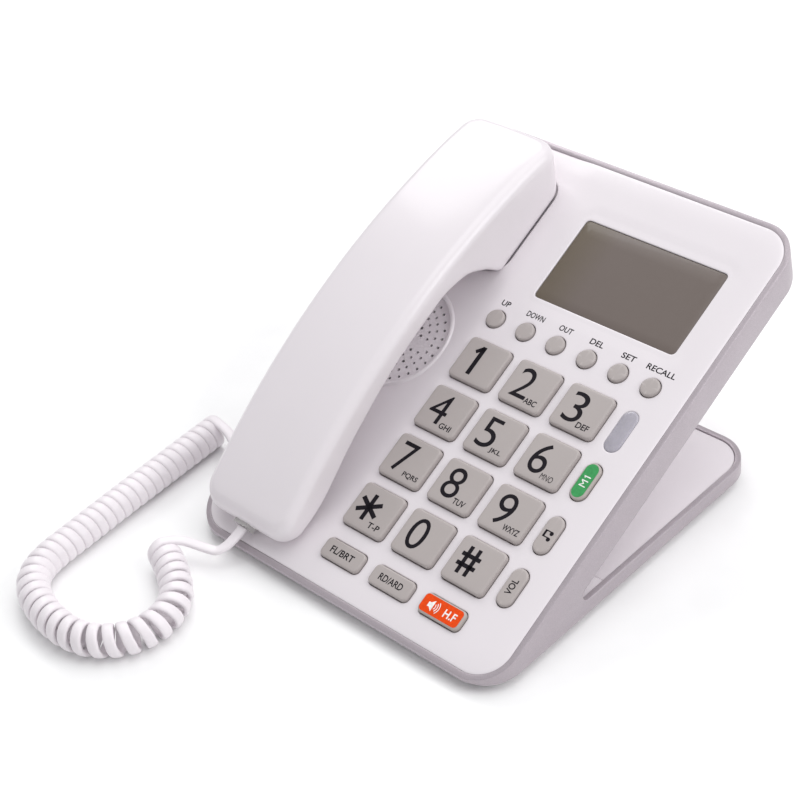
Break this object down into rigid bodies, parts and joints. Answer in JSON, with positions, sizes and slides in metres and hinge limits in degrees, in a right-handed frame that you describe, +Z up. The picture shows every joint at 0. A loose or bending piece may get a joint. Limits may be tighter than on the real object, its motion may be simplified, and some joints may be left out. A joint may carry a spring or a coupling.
{
  "type": "corded desk telephone",
  "caption": "Corded desk telephone: sloping slab on a flat foot, big keys, display and a handset on a coiled cord.",
  "frame": {"origin": "on the desk, under the middle of the telephone without its coiled cord", "axes": "+X to the right of someone using it, +Y to the back, +Z up"},
  "size_m": [0.1931, 0.2752, 0.1069],
  "materials": {
    "white_shell": "satin white moulded plastic",
    "silver_frame": "silver painted plastic",
    "grey_key": "warm grey moulded keys with printed legends",
    "orange_key": "orange key cap",
    "green_key": "green key cap",
    "lens": "grey tinted display window",
    "lamp_lens": "milky lamp window",
    "lcd": "grey reflective display",
    "rubber": "dark rubber",
    "mat": "silicone key mat",
    "board": "printed circuit board",
    "steel": "plain steel",
    "black": "black moulded plastic",
    "clear_plug": "clear modular plug",
    "cord": "white flexible cord jacket"
  },
  "bodies": {
    "base": {"back_cover": "white_shell", "ballast_weight": "steel", "base_frame": "silver_frame", "base_jack": "black", "base_speaker": "black", "bottom_plate": "white_shell", "case_screws": "steel", "cord_coil": "cord", "cord_lead_base": "cord", "cord_lead_handset": "cord", "face_panel": "white_shell", "foot_cover": "white_shell", "handsfree_microphone": "black", "hook_switch": "black", "keypad_board": "board", "keypad_mat": "mat", "lcd_backlight": "white_shell", "lcd_board": "board", "lcd_glass": "lcd", "lcd_lens": "lens", "led_lens": "lamp_lens", "line_jack": "black", "plug_base": "clear_plug", "ring_lamp": "white_shell", "rubber_feet": "rubber"},
    "handset": {"handset_outer_shell": "white_shell", "handset_inner_shell": "white_shell", "earpiece": "black", "handset_weight": "steel", "handset_microphone": "black", "handset_jack": "black", "handset_screws": "steel", "plug_handset": "clear_plug"},
    "hook": {"hook_plunger": "white_shell"},
    "key_0": {"key_0": "grey_key"},
    "key_1": {"key_1": "grey_key"},
    "key_2": {"key_2": "grey_key"},
    "key_3": {"key_3": "grey_key"},
    "key_4": {"key_4": "grey_key"},
    "key_5": {"key_5": "grey_key"},
    "key_6": {"key_6": "grey_key"},
    "key_7": {"key_7": "grey_key"},
    "key_8": {"key_8": "grey_key"},
    "key_9": {"key_9": "grey_key"},
    "key_flash": {"key_flash": "grey_key"},
    "key_handsfree": {"key_handsfree": "orange_key"},
    "key_hash": {"key_hash": "grey_key"},
    "key_redial": {"key_redial": "grey_key"},
    "key_star": {"key_star": "grey_key"},
    "button_delete": {"button_delete": "grey_key"},
    "button_down": {"button_down": "grey_key"},
    "button_memory": {"button_memory": "green_key"},
    "button_out": {"button_out": "grey_key"},
    "button_recall": {"button_recall": "grey_key"},
    "button_ringer": {"button_ringer": "grey_key"},
    "button_set": {"button_set": "grey_key"},
    "button_up": {"button_up": "grey_key"},
    "button_volume": {"button_volume": "grey_key"}
  },
  "joints": [
    {"name": "handset_lift", "type": "slide", "parent": "base", "child": "handset", "axis": [0, -0.4195, 0.9078], "range_m": [0, 0.09]},
    {"name": "hook_rise", "type": "slide", "parent": "base", "child": "hook", "axis": [0, -0.4195, 0.9078], "range_m": [0, 0.003]},
    {"name": "key_0_press", "type": "slide", "parent": "base", "child": "key_0", "axis": [0, 0.4195, -0.9078], "range_m": [0, 0.0012], "stiffness_N_per_m": 300},
    {"name": "key_1_press", "type": "slide", "parent": "base", "child": "key_1", "axis": [0, 0.4195, -0.9078], "range_m": [0, 0.0012], "stiffness_N_per_m": 300},
    {"name": "key_2_press", "type": "slide", "parent": "base", "child": "key_2", "axis": [0, 0.4195, -0.9078], "range_m": [0, 0.0012], "stiffness_N_per_m": 300},
    {"name": "key_3_press", "type": "slide", "parent": "base", "child": "key_3", "axis": [0, 0.4195, -0.9078], "range_m": [0, 0.0012], "stiffness_N_per_m": 300},
    {"name": "key_4_press", "type": "slide", "parent": "base", "child": "key_4", "axis": [0, 0.4195, -0.9078], "range_m": [0, 0.0012], "stiffness_N_per_m": 300},
    {"name": "key_5_press", "type": "slide", "parent": "base", "child": "key_5", "axis": [0, 0.4195, -0.9078], "range_m": [0, 0.0012], "stiffness_N_per_m": 300},
    {"name": "key_6_press", "type": "slide", "parent": "base", "child": "key_6", "axis": [0, 0.4195, -0.9078], "range_m": [0, 0.0012], "stiffness_N_per_m": 300},
    {"name": "key_7_press", "type": "slide", "parent": "base", "child": "key_7", "axis": [0, 0.4195, -0.9078], "range_m": [0, 0.0012], "stiffness_N_per_m": 300},
    {"name": "key_8_press", "type": "slide", "parent": "base", "child": "key_8", "axis": [0, 0.4195, -0.9078], "range_m": [0, 0.0012], "stiffness_N_per_m": 300},
    {"name": "key_9_press", "type": "slide", "parent": "base", "child": "key_9", "axis": [0, 0.4195, -0.9078], "range_m": [0, 0.0012], "stiffness_N_per_m": 300},
    {"name": "key_flash_press", "type": "slide", "parent": "base", "child": "key_flash", "axis": [0, 0.4195, -0.9078], "range_m": [0, 0.0012], "stiffness_N_per_m": 300},
    {"name": "key_handsfree_press", "type": "slide", "parent": "base", "child": "key_handsfree", "axis": [0, 0.4195, -0.9078], "range_m": [0, 0.0012], "stiffness_N_per_m": 300},
    {"name": "key_hash_press", "type": "slide", "parent": "base", "child": "key_hash", "axis": [0, 0.4195, -0.9078], "range_m": [0, 0.0012], "stiffness_N_per_m": 300},
    {"name": "key_redial_press", "type": "slide", "parent": "base", "child": "key_redial", "axis": [0, 0.4195, -0.9078], "range_m": [0, 0.0012], "stiffness_N_per_m": 300},
    {"name": "key_star_press", "type": "slide", "parent": "base", "child": "key_star", "axis": [0, 0.4195, -0.9078], "range_m": [0, 0.0012], "stiffness_N_per_m": 300},
    {"name": "button_delete_press", "type": "slide", "parent": "base", "child": "button_delete", "axis": [0, 0.4195, -0.9078], "range_m": [0, 0.0012], "stiffness_N_per_m": 300},
    {"name": "button_down_press", "type": "slide", "parent": "base", "child": "button_down", "axis": [0, 0.4195, -0.9078], "range_m": [0, 0.0012], "stiffness_N_per_m": 300},
    {"name": "button_memory_press", "type": "slide", "parent": "base", "child": "button_memory", "axis": [0, 0.4195, -0.9078], "range_m": [0, 0.0012], "stiffness_N_per_m": 300},
    {"name": "button_out_press", "type": "slide", "parent": "base", "child": "button_out", "axis": [0, 0.4195, -0.9078], "range_m": [0, 0.0012], "stiffness_N_per_m": 300},
    {"name": "button_recall_press", "type": "slide", "parent": "base", "child": "button_recall", "axis": [0, 0.4195, -0.9078], "range_m": [0, 0.0012], "stiffness_N_per_m": 300},
    {"name": "button_ringer_press", "type": "slide", "parent": "base", "child": "button_ringer", "axis": [0, 0.4195, -0.9078], "range_m": [0, 0.0012], "stiffness_N_per_m": 300},
    {"name": "button_set_press", "type": "slide", "parent": "base", "child": "button_set", "axis": [0, 0.4195, -0.9078], "range_m": [0, 0.0012], "stiffness_N_per_m": 300},
    {"name": "button_up_press", "type": "slide", "parent": "base", "child": "button_up", "axis": [0, 0.4195, -0.9078], "range_m": [0, 0.0012], "stiffness_N_per_m": 300},
    {"name": "button_volume_press", "type": "slide", "parent": "base", "child": "button_volume", "axis": [0, 0.4195, -0.9078], "range_m": [0, 0.0012], "stiffness_N_per_m": 300}
  ],
  "couplings": [
    {"joint": "hook_rise", "follows": "handset_lift", "ratio": 0.033333}
  ]
}
